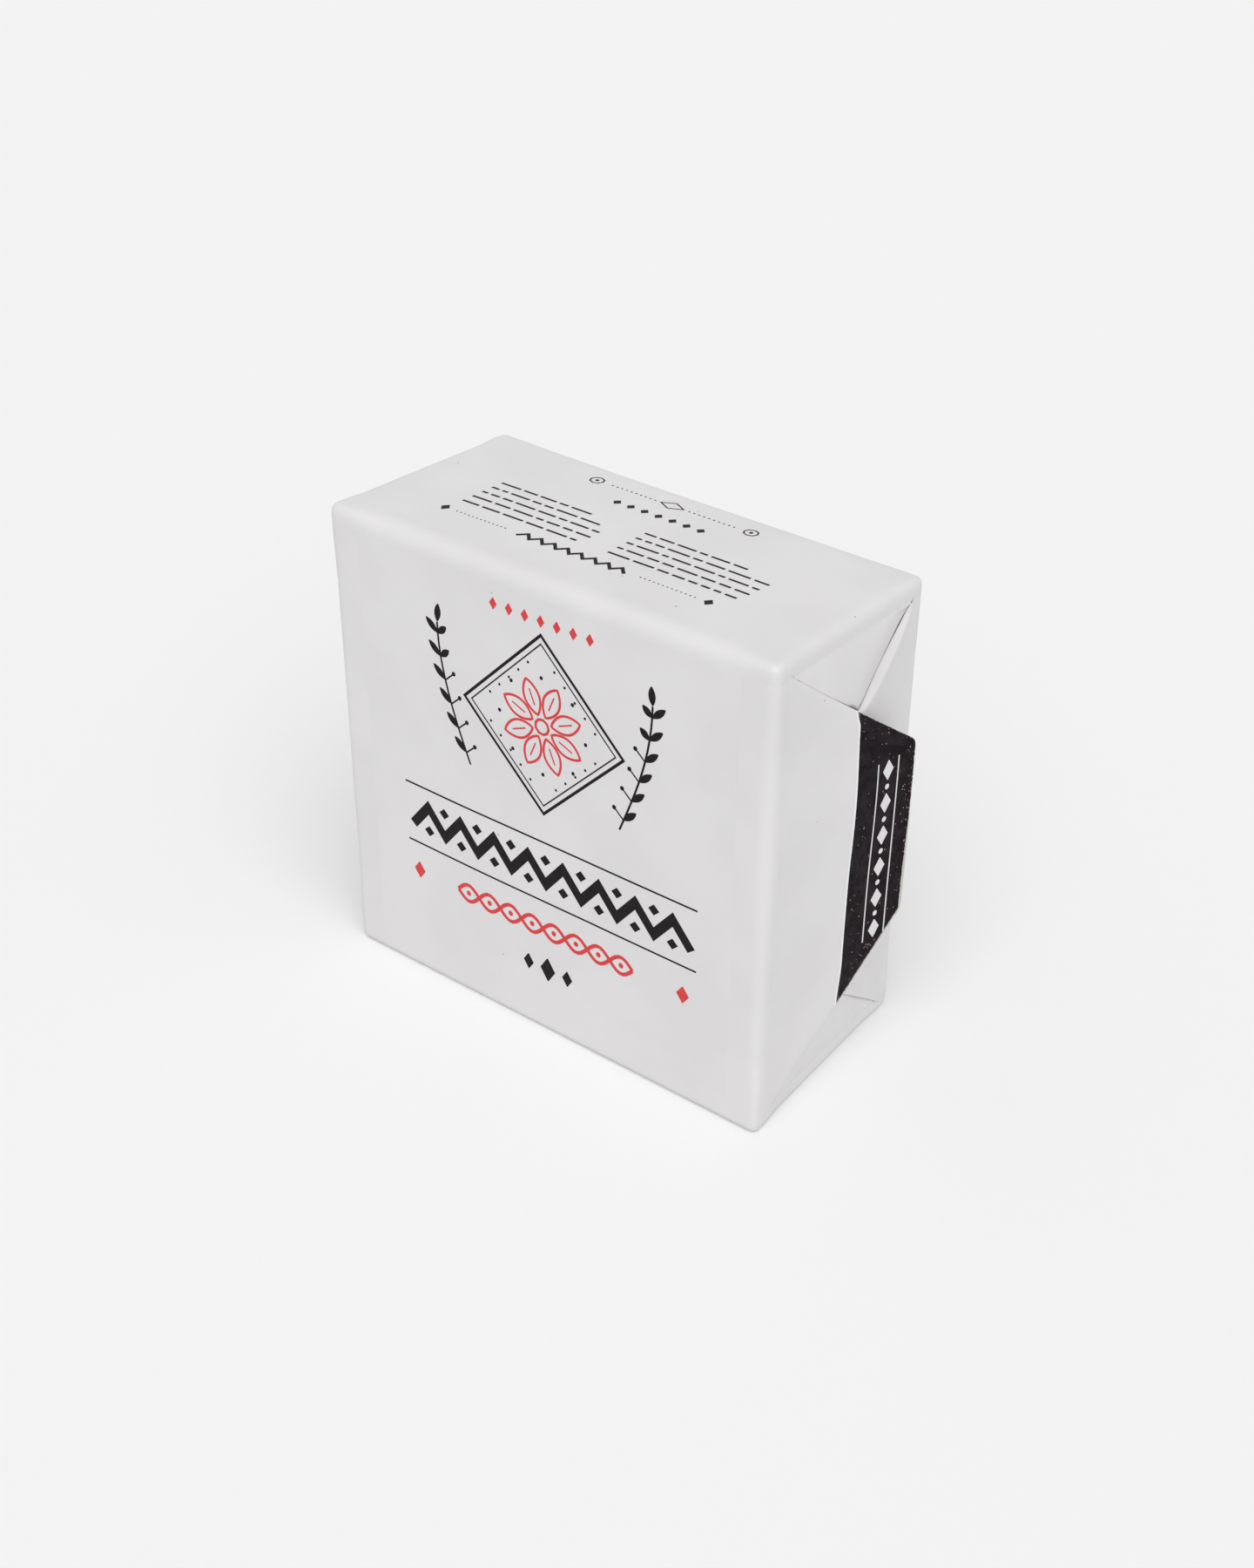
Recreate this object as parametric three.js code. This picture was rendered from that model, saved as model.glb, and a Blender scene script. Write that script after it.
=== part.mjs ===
// Block of pressed chalk in a folded paper wrapper, standing on its long narrow face.
// Millimetres. +X is the right end, -Y the front face, +Z up. The origin is the middle of the bottom face.
// The wrapper is one sheet: a sleeve round the X axis, whose two overhanging ends are folded in four steps.
// The upper and lower tucks are folded first, the inner flap from the back edge next, the outer flap last.

import * as THREE from 'three';
import { RoundedBoxGeometry } from 'three/addons/geometries/RoundedBoxGeometry.js';

// Chalk
const blockWidth = 50.8;
const blockDepth = 25.4;
const blockHeight = 50.8;
const blockEdge = 1.6;

// Sheet of paper
const paper = 0.15;
const wrapClearance = 0.05;
const layerClearance = 0.05;
const foldGap = 0.05;
const rimCorner = 0.3;
const overhang = 20.6;
const tuckTaper = 1.2;

// Lap on the back face, glued along its middle
const lapLow = 14;
const lapWidth = 12;
const lapRise = 3;
const glueThickness = 0.05;
const glueWidth = 6;
const glueEndInset = 2;

// Outer flap, folded over from the front edge and as long as the overhang
const outerUpperSlopeShare = 0.745;
const outerLowerSlopeShare = 0.77;
const outerTipRadius = 0.9;
const outerRestAngle = 5.5;
const outerLeanAngle = 1.5;

// Inner flap, folded over from the back edge
const innerLength = 12.4;
const innerSlopeShare = 0.78;
const innerTipRadius = 0.4;
const innerRestAngle = 2.5;

// Both flaps leave this much between their base and the rounded fold that they turn about
const hingeGap = 0.2;

// Counts
const cornerSteps = 4;
const rollSteps = 5;
const blockSteps = 3;
const tipSteps = 3;

// Worked out from the sizes above
const sideLayer = wrapClearance + paper;
const depth = blockDepth + 2 * sideLayer;
const height = blockHeight + 2 * sideLayer;
const cornerRadius = blockEdge + sideLayer;
const foldRadius = cornerRadius - rimCorner;
const pivotInset = foldRadius * (1 - Math.PI / 4);
const foldedPair = 2 * paper + foldGap;
const tuckFace = blockWidth / 2 + sideLayer;
const innerFace = tuckFace + layerClearance + foldedPair;
const outerReach = depth - innerLength - pivotInset;
const outerLean = outerReach * Math.tan(THREE.MathUtils.degToRad(outerLeanAngle));
const outerFace = innerFace + layerClearance + foldedPair - outerLean;
const lapOffset = paper + glueThickness;
const lapTop = lapLow + lapWidth;

const paperColour = 0xe4e4e5;
const paperBackColour = 0xdedcd6;

const group = new THREE.Group();

function paperMaterial(color = paperColour) {
  return new THREE.MeshStandardMaterial({ color, roughness: 0.5, metalness: 0 });
}

function add(parent, name, geometry, material) {
  const mesh = new THREE.Mesh(geometry, material);
  mesh.name = name;
  parent.add(mesh);
  return mesh;
}

// A closed sheet between two grids of points: at(i, j, 0) is its outer face and at(i, j, 1) its inner face.
// Seen from outside, rows run to the right and columns turn anticlockwise round the X axis.
function thickSheet(rows, columns, at) {
  const positions = [];
  const index = [];
  for (const side of [0, 1]) {
    for (let i = 0; i <= rows; i++) {
      for (let j = 0; j <= columns; j++) {
        positions.push(...at(i, j, side));
      }
    }
  }
  const vertex = (i, j, side) => side * (rows + 1) * (columns + 1) + i * (columns + 1) + j;
  const quad = (a, b, c, d) => index.push(a, b, c, a, c, d);
  for (let i = 0; i < rows; i++) {
    for (let j = 0; j < columns; j++) {
      quad(vertex(i, j, 0), vertex(i, j + 1, 0), vertex(i + 1, j + 1, 0), vertex(i + 1, j, 0));
      quad(vertex(i, j, 1), vertex(i + 1, j, 1), vertex(i + 1, j + 1, 1), vertex(i, j + 1, 1));
    }
  }
  for (let i = 0; i < rows; i++) {
    quad(vertex(i, 0, 0), vertex(i + 1, 0, 0), vertex(i + 1, 0, 1), vertex(i, 0, 1));
    quad(vertex(i, columns, 0), vertex(i, columns, 1), vertex(i + 1, columns, 1), vertex(i + 1, columns, 0));
  }
  for (let j = 0; j < columns; j++) {
    quad(vertex(0, j, 0), vertex(0, j, 1), vertex(0, j + 1, 1), vertex(0, j + 1, 0));
    quad(vertex(rows, j, 0), vertex(rows, j + 1, 0), vertex(rows, j + 1, 1), vertex(rows, j, 1));
  }
  const geometry = new THREE.BufferGeometry();
  geometry.setAttribute('position', new THREE.Float32BufferAttribute(positions, 3));
  geometry.setIndex(index);
  geometry.computeVertexNormals();
  return geometry;
}

// Stations round the sleeve. Each has the centre of its rounded corner, the direction in which the paper
// looks, the X of the fold at the sleeve's ends there, and how far an upper layer lies outside a lower one.
function station(ySide, z, turn, face, offset = 0) {
  return { y: ySide * (depth / 2 - cornerRadius), z, turn, face, offset };
}

function corner(ySide, z, firstTurn, firstFace, lastFace) {
  const stations = [];
  for (let step = 0; step <= cornerSteps; step++) {
    const share = step / cornerSteps;
    const eased = (1 - Math.cos(Math.PI * share)) / 2;
    const turn = firstTurn + (share * Math.PI) / 2;
    stations.push(station(ySide, z, turn, THREE.MathUtils.lerp(firstFace, lastFace, eased)));
  }
  return stations;
}

// A panel of the sleeve, with both of its ends rolled in by a quarter turn about the block's edges.
function panel(stations) {
  const lastRoll = 2 * rollSteps + 1;
  const at = (i, j, side) => {
    const { y, z, turn, face, offset } = stations[j];
    const end = i <= rollSteps ? -1 : 1;
    const roll = ((i <= rollSteps ? rollSteps - i : i - rollSteps - 1) / rollSteps) * (Math.PI / 2);
    const inset = side * paper - offset;
    const reach = cornerRadius - inset - (foldRadius - inset) * (1 - Math.cos(roll));
    const x = end * (face - foldRadius + (foldRadius - inset) * Math.sin(roll));
    return [x, y + reach * Math.cos(turn), z + reach * Math.sin(turn)];
  };
  return thickSheet(lastRoll, stations.length - 1, at);
}

// Chalk
function addChalk() {
  const chalk = new THREE.MeshStandardMaterial({ color: 0xf1f0ec, roughness: 0.95, metalness: 0 });
  const geometry = new RoundedBoxGeometry(blockWidth, blockDepth, blockHeight, blockSteps, blockEdge);
  const block = add(group, 'chalk_block', geometry, chalk);
  block.position.z = height / 2;
}

// Sleeve
function addSleeve() {
  const low = cornerRadius;
  const high = height - cornerRadius;
  const back = 0;
  const up = Math.PI / 2;
  const front = Math.PI;
  const down = -Math.PI / 2;

  const topStations = [
    ...corner(1, high, back, innerFace, tuckFace),
    ...corner(-1, high, up, tuckFace, outerFace),
  ];
  const bottomStations = [
    ...corner(-1, low, front, outerFace, tuckFace),
    ...corner(1, low, down, tuckFace, innerFace),
  ];
  const frontStations = [station(-1, high, front, outerFace), station(-1, low, front, outerFace)];
  const lowerBackStations = [station(1, low, back, innerFace), station(1, lapTop, back, innerFace)];
  const upperBackStations = [
    station(1, lapLow, back, innerFace, lapOffset),
    station(1, lapTop + foldGap, back, innerFace, lapOffset),
    station(1, lapTop + lapRise, back, innerFace),
    station(1, high, back, innerFace),
  ];
  add(group, 'front_panel', panel(frontStations), paperMaterial());
  add(group, 'top_panel', panel(topStations), paperMaterial());
  add(group, 'bottom_panel', panel(bottomStations), paperMaterial());
  add(group, 'lower_back_panel', panel(lowerBackStations), paperMaterial());
  add(group, 'upper_back_panel', panel(upperBackStations), paperMaterial());
}

function addSeamGlue() {
  const glue = new THREE.MeshStandardMaterial({ color: 0xd9d2ab, roughness: 0.35, metalness: 0 });
  const length = 2 * (innerFace - foldRadius - glueEndInset);
  const strip = add(group, 'seam_glue', new THREE.BoxGeometry(length, glueThickness, glueWidth), glue);
  strip.position.set(0, (depth + glueThickness) / 2, lapLow + lapWidth / 2);
}

// Plates. An outline's x runs along the end face, away from the edge that the plate is folded from.
// Its y is up. The thickness runs towards +X where the outline runs towards +Y, and towards -X otherwise.
function plate(outline) {
  return new THREE.ExtrudeGeometry(outline, { depth: paper, bevelEnabled: false, curveSegments: tipSteps });
}

// Stands a plate upright at one end, with its outer face at the distance given from the middle.
function stand(mesh, side, along, face) {
  const basis = new THREE.Matrix4().makeBasis(
    new THREE.Vector3(0, along, 0),
    new THREE.Vector3(0, 0, 1),
    new THREE.Vector3(along, 0, 0),
  );
  mesh.quaternion.setFromRotationMatrix(basis);
  mesh.position.x = side * (face - paper / 2) - (along * paper) / 2;
}

function tuckOutline(level) {
  const baseHalf = depth / 2 - cornerRadius;
  const tipHalf = baseHalf - tuckTaper;
  const outline = new THREE.Shape();
  outline.moveTo(-baseHalf, level(foldRadius));
  outline.lineTo(baseHalf, level(foldRadius));
  outline.lineTo(tipHalf, level(overhang));
  outline.lineTo(-tipHalf, level(overhang));
  outline.closePath();
  return outline;
}

function flapOutline({ length, lowerSlopeShare, upperSlopeShare, tipRadius }) {
  const base = foldRadius + hingeGap;
  const cut = length - tipRadius;
  const lowerTip = lowerSlopeShare * length;
  const upperTip = height - upperSlopeShare * length;
  const outline = new THREE.Shape();
  outline.moveTo(base, lowerSlopeShare * base);
  outline.lineTo(cut, lowerSlopeShare * cut);
  outline.quadraticCurveTo(length, lowerTip, length, lowerTip + tipRadius);
  outline.lineTo(length, upperTip - tipRadius);
  outline.quadraticCurveTo(length, upperTip, cut, height - upperSlopeShare * cut);
  outline.lineTo(base, height - upperSlopeShare * base);
  outline.closePath();
  return outline;
}

// The triangle between the diagonal fold, the sheet's cut edge and the hinge line.
function gussetOutline({ length, tipRadius }, slopeShare, level) {
  const base = foldRadius + hingeGap;
  const tip = length - tipRadius;
  const outline = new THREE.Shape();
  outline.moveTo(base, level(slopeShare * base));
  outline.lineTo(tip, level(slopeShare * tip));
  outline.lineTo(base, level(length));
  outline.closePath();
  return outline;
}

const outerFlap = {
  word: 'outer',
  along: 1,
  face: outerFace,
  restAngle: outerRestAngle,
  length: overhang,
  lowerSlopeShare: outerLowerSlopeShare,
  upperSlopeShare: outerUpperSlopeShare,
  tipRadius: outerTipRadius,
};

const innerFlap = {
  word: 'inner',
  along: -1,
  face: innerFace,
  restAngle: innerRestAngle,
  length: innerLength,
  lowerSlopeShare: innerSlopeShare,
  upperSlopeShare: innerSlopeShare,
  tipRadius: innerTipRadius,
};

// Heights at the upper and the lower half of an end, by their distance from the top or the bottom edge.
const halves = [
  { half: 'upper', level: (drop) => height - drop },
  { half: 'lower', level: (rise) => rise },
];

function addTucks(side, end) {
  for (const { half, level } of halves) {
    const tuck = add(group, `${end}_${half}_tuck`, plate(tuckOutline(level)), paperMaterial(paperBackColour));
    stand(tuck, side, 1, tuckFace);
  }
}

// A flap and its two gussets turn together about the upright crease, a little inside the package's edge.
function addFlap(side, end, flap) {
  const { word, along, face, restAngle, lowerSlopeShare, upperSlopeShare } = flap;
  const crease = new THREE.Group();
  crease.position.set(side * (face - pivotInset), along * (pivotInset - depth / 2), 0);
  crease.rotation.z = -side * along * THREE.MathUtils.degToRad(restAngle);
  group.add(crease);

  const place = (name, outline, outerFaceHere, material) => {
    const piece = add(crease, name, plate(outline), material);
    stand(piece, side, along, outerFaceHere);
    piece.position.x -= crease.position.x;
    piece.position.y = -along * pivotInset;
  };
  place(`${end}_${word}_flap`, flapOutline(flap), face, paperMaterial());
  for (const { half, level } of halves) {
    const slopeShare = half === 'upper' ? upperSlopeShare : lowerSlopeShare;
    const outline = gussetOutline(flap, slopeShare, level);
    place(`${end}_${word}_${half}_gusset`, outline, face - paper - foldGap, paperMaterial(paperBackColour));
  }
}

addChalk();
addSleeve();
addSeamGlue();
for (const [side, end] of [[1, 'right'], [-1, 'left']]) {
  addTucks(side, end);
  addFlap(side, end, innerFlap);
  addFlap(side, end, outerFlap);
}

export default group;
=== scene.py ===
import math
import random

import bmesh
import bpy
import numpy as np
from mathutils import Matrix, Vector, noise


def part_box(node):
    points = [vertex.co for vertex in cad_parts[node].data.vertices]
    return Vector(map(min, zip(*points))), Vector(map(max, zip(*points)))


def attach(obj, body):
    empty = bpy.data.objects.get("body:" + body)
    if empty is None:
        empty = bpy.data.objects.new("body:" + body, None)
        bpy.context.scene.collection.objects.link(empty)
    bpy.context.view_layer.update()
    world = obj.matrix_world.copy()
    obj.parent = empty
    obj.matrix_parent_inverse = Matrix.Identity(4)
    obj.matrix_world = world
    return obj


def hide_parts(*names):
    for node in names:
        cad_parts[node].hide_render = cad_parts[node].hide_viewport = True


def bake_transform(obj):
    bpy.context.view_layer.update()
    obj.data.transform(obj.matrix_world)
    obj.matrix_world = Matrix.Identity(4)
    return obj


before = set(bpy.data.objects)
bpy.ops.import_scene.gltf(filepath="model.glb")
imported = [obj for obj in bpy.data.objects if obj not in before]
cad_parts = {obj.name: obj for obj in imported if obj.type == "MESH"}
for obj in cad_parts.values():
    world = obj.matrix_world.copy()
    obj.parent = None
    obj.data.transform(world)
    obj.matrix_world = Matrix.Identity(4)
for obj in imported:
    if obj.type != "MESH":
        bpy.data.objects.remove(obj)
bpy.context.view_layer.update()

MM = 0.001
TINY = 1e-6

# Sizes that the frame has too
HALF_WIDTH = 26.05
DEPTH = 25.8
HEIGHT = 51.2
HALF_DEPTH = DEPTH / 2
MIDDLE = HEIGHT / 2
EDGE_RADIUS = 1.8
FOLD_RADIUS = 1.5
RIM = EDGE_RADIUS - FOLD_RADIUS
CORE = HALF_DEPTH - EDGE_RADIUS
PAPER = 0.15
LAYER_GAP = 0.05
PAIR = 2 * PAPER + LAYER_GAP
END = 26.0
TUCK_FACE = 25.6
TUCK_TAPER = 1.2
OVERHANG = 20.6
LAP_LOW = 14.0
LAP_TOP = 26.0
LAP_END = 29.0
LAP_RISE = 0.2
GLUE_THICKNESS = 0.05
BLOCK = (50.8, 25.4, 50.8)
BLOCK_EDGE = 1.6

# A flap's own piece starts this far out from the middle, and this far from the top and bottom edges
STRIP_START = 22.5
STRIP_NEXT = 23.5
SHOULDER = 1.9

# Steps round a fold and across a gusset
ROLL_STEPS = 8
GUSSET_STEPS = 8

# Where the sheet is printed black, as a distance along it from its middle, and how much less counts as black
BLACK_START = 38.0
BLACK_SLACK = 0.15

# A point's place on the flat sheet is its distance along it, its height and its distance from a fold or edge.
# This distance means that none is near. One below zero lies in a crease, which gets painted shade.
FAR = 9.0
TUCK_SHADE_MARKS = {"low": -0.055, "high": -0.1}

# The paper's soft waves, as height, size and seed, its least distance from the plain shape, its swelling
# over the block, and the height in which all that fades out above the ground
PAPER_WAVES = ((0.07, 15.0, 3.1), (0.02, 5.0, 8.4))
SLACK = 0.05
PILLOW = 0.16
FLAT_FOOT = 5.0

# A folded packet is not quite a box. How far its corners lie from a box's, by the signs of x and y
TOP_SHIFTS = {
    (-1, -1): (-0.34, 0.09, 0.56),
    (-1, 1): (0.2, 0.0, 0.05),
    (1, -1): (0.02, 0.13, 0.18),
    (1, 1): (-0.3, -0.55, -0.75),
}
BOTTOM_SHIFTS = {
    (-1, -1): (0.3, 0.07, 0.0),
    (-1, 1): (0.0, 0.0, 0.0),
    (1, -1): (0.64, -0.03, 0.0),
    (1, 1): (-0.21, 0.3, 0.0),
}

# Crispness of the rounded edges, as the power in rounding(). The ends' powers go by their side: at the
# corners and in the middle of the top, and half way up the front
FOOT_POWER = 6.0
TOP_FRONT_POWER = 2.2
TOP_BACK_POWER = 3.5
EDGE_END_POWER = 4.5
END_TOP_POWERS = {1: (4.5, 3.0), -1: (6.0, 5.0)}
END_FRONT_POWER = {1: 2.5, -1: 4.0}
END_BACK_POWER = 3.6
CORNER_RUN = 9.0


# Small helpers
def smooth(value):
    value = min(1.0, max(0.0, value))
    return value * value * (3 - 2 * value)


def mix(a, b, share):
    return a + (b - a) * share


def swelling(distance, half):
    """Share of a face's swelling at a distance from its middle."""
    share = distance / half
    return 1 - share * share


def waves(x, y, z, size, seed):
    return noise.noise(Vector((x / size + seed, y / size + 0.37 * seed, z / size - seed)))


def relief(x, y, z, pillow=0.0):
    """How far the paper stands proud of its plain shape. It lies flat on what it stands on."""
    soft = sum(height * waves(x, y, z, size, seed) for height, size, seed in PAPER_WAVES)
    proud = PILLOW * pillow * max(0.0, 1 - (x / END) ** 2)
    return (SLACK + soft + proud) * smooth(z / FLAT_FOOT)


def upright_relief(x, y, z):
    """Relief on the front or back."""
    return relief(x, y, z, swelling(z - MIDDLE, MIDDLE))


def from_edge(half, z):
    """Turns a height into a drop from the top or bottom, or such a drop into a height."""
    return HEIGHT - z if half == "high" else z


def out_of_true(points):
    """Moves points as the packet's corners lie."""
    points = np.array(points, float)
    x = np.clip(points[:, 0] / HALF_WIDTH, -1, 1)
    y = np.clip(points[:, 1] / HALF_DEPTH, -1, 1)
    z = np.clip(points[:, 2] / HEIGHT, 0, 1)
    moved = points.copy()
    for shifts, level in ((TOP_SHIFTS, z), (BOTTOM_SHIFTS, 1 - z)):
        for (sign_x, sign_y), shift in shifts.items():
            weight = (1 + sign_x * x) / 2 * (1 + sign_y * y) / 2 * level
            moved += weight[:, None] * np.array(shift)
    return moved


# Meshes
def add_object(name, data):
    added = bpy.data.objects.new(name, data)
    bpy.context.scene.collection.objects.link(added)
    return added


def face_normal(p):
    """Normal of a triangle or a quad. It is longer where the face is larger."""
    normal = np.cross(p[1] - p[0], p[2] - p[0])
    if len(p) == 4:
        normal = normal + np.cross(p[2] - p[0], p[3] - p[0])
    return normal


class Sheet:
    """One surface of paper, made into a closed thin shell."""

    def __init__(self):
        self.points, self.flat, self.faces, self.creases = [], [], [], set()

    def point(self, place, flat):
        self.points.append(place)
        self.flat.append(flat)
        return len(self.points) - 1

    def face(self, corners, outward):
        kept = [c for n, c in enumerate(corners) if c != corners[n - 1]]
        if len(kept) < 3:
            return
        if face_normal([np.array(self.points[c]) for c in kept]) @ np.array(outward, float) < 0:
            kept.reverse()
        self.faces.append(kept)

    def join(self, first, second, outs):
        """Faces between two rows of points, which look the way that outs says."""
        for i in range(len(first) - 1):
            self.face([first[i], first[i + 1], second[i + 1], second[i]], outs[i])

    def shell(self, name):
        """A closed mesh as thick as the paper: white or black outside, and bare inside and at its cut edges."""
        points = np.array(self.points, float)
        normals = np.zeros_like(points)
        for corners in self.faces:
            normals[corners] += face_normal(points[corners])
        length = np.linalg.norm(normals, axis=1)
        length[length == 0] = 1
        normals /= length[:, None]
        count = len(points)
        edges = dict.fromkeys(pair for corners in self.faces for pair in zip(corners, corners[1:] + corners[:1]))
        rim = [(a, b) for a, b in edges if (b, a) not in edges]
        faces = self.faces + [[v + count for v in reversed(c)] for c in self.faces]
        faces += [[b, a, a + count, b + count] for a, b in rim]
        limit = BLACK_START - BLACK_SLACK
        kinds = [2 if all(abs(self.flat[v][0]) > limit for v in c) else 0 for c in self.faces]
        kinds += [1] * (len(faces) - len(kinds))
        sharp = {frozenset(edge) for a, b in rim for edge in ((a, b), (a + count, b + count))} | self.creases
        everything = np.vstack([points, points - normals * PAPER])
        return finish_mesh(name, everything, faces, [printed, bare, printed_black], self.flat * 2, kinds, sharp)


def finish_mesh(name, points, faces, materials, flat, kinds=None, sharp=()):
    used = sorted({v for corners in faces for v in corners})
    renumber = {v: n for n, v in enumerate(used)}
    mesh = bpy.data.meshes.new(name)
    mesh.from_pydata(
        [tuple(place) for place in out_of_true([points[v] for v in used]) * MM],
        [],
        [[renumber[v] for v in corners] for corners in faces],
    )
    mesh.polygons.foreach_set("use_smooth", [True] * len(mesh.polygons))
    mesh.polygons.foreach_set("material_index", kinds or [0] * len(mesh.polygons))
    for material in materials:
        mesh.materials.append(material)
    attribute = mesh.attributes.new("flat", "FLOAT_VECTOR", "POINT")
    attribute.data.foreach_set("vector", [c for v in used for c in flat[v]])
    if sharp:
        sharp = {frozenset(renumber[v] for v in e) for e in sharp if all(v in renumber for v in e)}
        edge = mesh.attributes.new("sharp_edge", "BOOLEAN", "EDGE")
        edge.data.foreach_set("value", [frozenset(e.vertices) in sharp for e in mesh.edges])
    mesh.validate()
    mesh.update()
    return add_object(name, mesh)


def slab_faces(rows, columns, base=0, loop=False):
    """Faces of a closed slab, whose points come row by row as pairs of an outer and an inner one."""
    faces = []

    def ring(corners, turned):
        ids = [base + ((row % rows) * columns + column) * 2 + layer for row, column, layer in corners]
        faces.append(ids[::-1] if turned else ids)

    for r in range(rows if loop else rows - 1):
        for c in range(columns - 1):
            for layer in (0, 1):
                ring([(r, c, layer), (r, c + 1, layer), (r + 1, c + 1, layer), (r + 1, c, layer)], layer == 1)
        for c, turned in ((0, False), (columns - 1, True)):
            ring([(r, c, 0), (r + 1, c, 0), (r + 1, c, 1), (r, c, 1)], turned)
    for r, turned in () if loop else ((0, True), (rows - 1, False)):
        for c in range(columns - 1):
            ring([(r, c, 0), (r, c + 1, 0), (r, c + 1, 1), (r, c, 1)], turned)
    return faces


# Materials
class Nodes:
    """Short ways to add nodes to one material or world."""

    def __init__(self, made):
        made.use_nodes = True
        self.tree = made.node_tree
        self.place = None

    @property
    def flat(self):
        """Place on the flat sheet, and distance from the nearest fold or edge."""
        if self.place is None:
            self.place = self.add("Attribute", {}, attribute_name="flat").outputs["Vector"]
        return self.place

    def feed(self, node, inputs):
        for key, value in inputs.items():
            if isinstance(value, bpy.types.NodeSocket):
                self.tree.links.new(value, node.inputs[key])
            else:
                node.inputs[key].default_value = (*value, 1) if "Color" in str(key) else value

    def dress(self, inputs):
        self.feed(self.tree.nodes["Principled BSDF"], inputs)

    def add(self, kind, inputs, **settings):
        node = self.tree.nodes.new(f"ShaderNode{kind}")
        for key, value in settings.items():
            setattr(node, key, value)
        self.feed(node, inputs)
        return node

    def math(self, operation, *values):
        return self.add("Math", dict(enumerate(values)), operation=operation).outputs[0]

    def ramp(self, value, low, high, first=0.0, last=1.0, kind="SMOOTHSTEP"):
        values = dict(enumerate((value, low, high, first, last)))
        return self.add("MapRange", values, interpolation_type=kind).outputs[0]

    def noise(self, scale, detail=2.0, roughness=0.5, vector=None, distortion=0.0):
        inputs = {"Vector": vector or self.flat, "Scale": scale, "Detail": detail}
        return self.add("TexNoise", {**inputs, "Roughness": roughness, "Distortion": distortion}).outputs["Fac"]

    def cells(self, scale):
        """Distance from the middles of scattered cells, and a number of its own for each cell."""
        node = self.add("TexVoronoi", {"Vector": self.flat, "Scale": scale})
        return node.outputs["Distance"], self.parts(node.outputs["Color"])[0]

    def parts(self, vector):
        return self.add("SeparateXYZ", {0: vector}).outputs

    def blend(self, share, *colors):
        first, last = ((*color, 1) if isinstance(color, tuple) else color for color in colors)
        return self.add("Mix", {0: share, 6: first, 7: last}, data_type="RGBA").outputs[2]

    def stretched(self, scale, turn=0.0):
        inputs = {"Vector": self.flat, "Rotation": (0.0, 0.0, turn), "Scale": scale}
        return self.add("Mapping", inputs).outputs["Vector"]

    def bump(self, height, strength, distance, **below):
        inputs = {"Height": height, "Strength": strength, "Distance": distance * MM, **below}
        return self.add("Bump", inputs).outputs["Normal"]


def material(name, color, roughness, specular=0.5):
    made = bpy.data.materials.new(name)
    n = Nodes(made)
    n.dress({"Base Color": color, "Roughness": roughness, "Specular IOR Level": specular})
    return made, n


PAPER_LIGHT = (0.705, 0.695, 0.705)
PAPER_SHADE = (0.675, 0.665, 0.678)
PAPER_BARE = (0.66, 0.63, 0.58)
BARE_DARK = (0.62, 0.6, 0.565)
BARE_LIGHT = (0.7, 0.68, 0.645)
PAPER_SPECK = (0.2, 0.17, 0.15)
PAPER_CREASE_SHADE = (0.24, 0.16, 0.19)
BORDER_HIGHLIGHT = (0.86, 0.86, 0.9)
BLACK_INK = (0.009, 0.0045, 0.007)
BLACK_WORN = (0.02, 0.014, 0.0175)
BLACK_SHEEN_STREAK = (0.005, 0.003, 0.004)
BLACK_DUST = (0.42, 0.36, 0.38)
BLACK_CRACKED = (0.66, 0.6, 0.56)
CHALK = (0.86, 0.85, 0.82)
CHALK_DARK = (0.78, 0.77, 0.745)
CHALK_LIGHT = (0.87, 0.86, 0.84)
CHALK_PORE_SHADE = (0.6, 0.59, 0.565)
GLUE = (0.62, 0.55, 0.33)
GLUE_DARK = (0.55, 0.48, 0.28)
GLUE_LIGHT = (0.68, 0.62, 0.42)


def white_side(n, fibre):
    """Colour of the white print: faint clouds, fibres and a few specks."""
    white = n.blend(n.ramp(n.noise(0.09, 3), 0.35, 0.65), PAPER_SHADE, PAPER_LIGHT)
    white = n.blend(n.ramp(fibre, 0.3, 0.7, 0.0, 0.16), white, PAPER_BARE)
    distance, number = n.cells(0.55)
    speck = n.math("LESS_THAN", distance, n.ramp(number, 0.86, 1.0, 0.0, 0.09))
    return n.blend(n.math("MULTIPLY", speck, 0.45), white, PAPER_SPECK)


def black_side(n, level, fold):
    """Colour of the black print: worn patches, dark streaks that are a painted satin sheen, dust, and the paper showing
    at its folds.
    """
    black = n.blend(n.ramp(n.noise(0.6, 4, 0.6), 0.3, 0.75), BLACK_INK, BLACK_WORN)
    # Painted sheen: dark slanted streaks give the black the streaky look of its satin
    streaks = n.noise(0.9, 3, 0.6, n.stretched((0.5, 0.9, 0.9), 0.6), 0.5)
    black = n.blend(n.ramp(streaks, 0.5, 0.62, 0.0, 0.85), black, BLACK_SHEEN_STREAK)
    distance, number = n.cells(3.4)
    dusty = n.ramp(number, n.ramp(fold, 0.0, 3.0, 0.6, 0.9), 1.0, 0.0, 0.36)
    dust = n.math("MULTIPLY", n.math("LESS_THAN", distance, dusty), n.ramp(n.noise(0.45, 2), 0.42, 0.62, 0.1, 1.0))
    black = n.blend(n.math("MULTIPLY", dust, 0.8), black, BLACK_DUST)
    width = n.ramp(level, 20.0, 30.0, 0.4, 0.12)
    ragged = n.math("ADD", fold, n.ramp(n.noise(2.6, 4, 0.7), 0.3, 0.75, -0.06, 0.06))
    worn = n.ramp(ragged, width, n.math("ADD", width, 0.08), 1.0, 0.0)
    return n.blend(n.math("MULTIPLY", worn, 0.85), black, BLACK_CRACKED)


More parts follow.
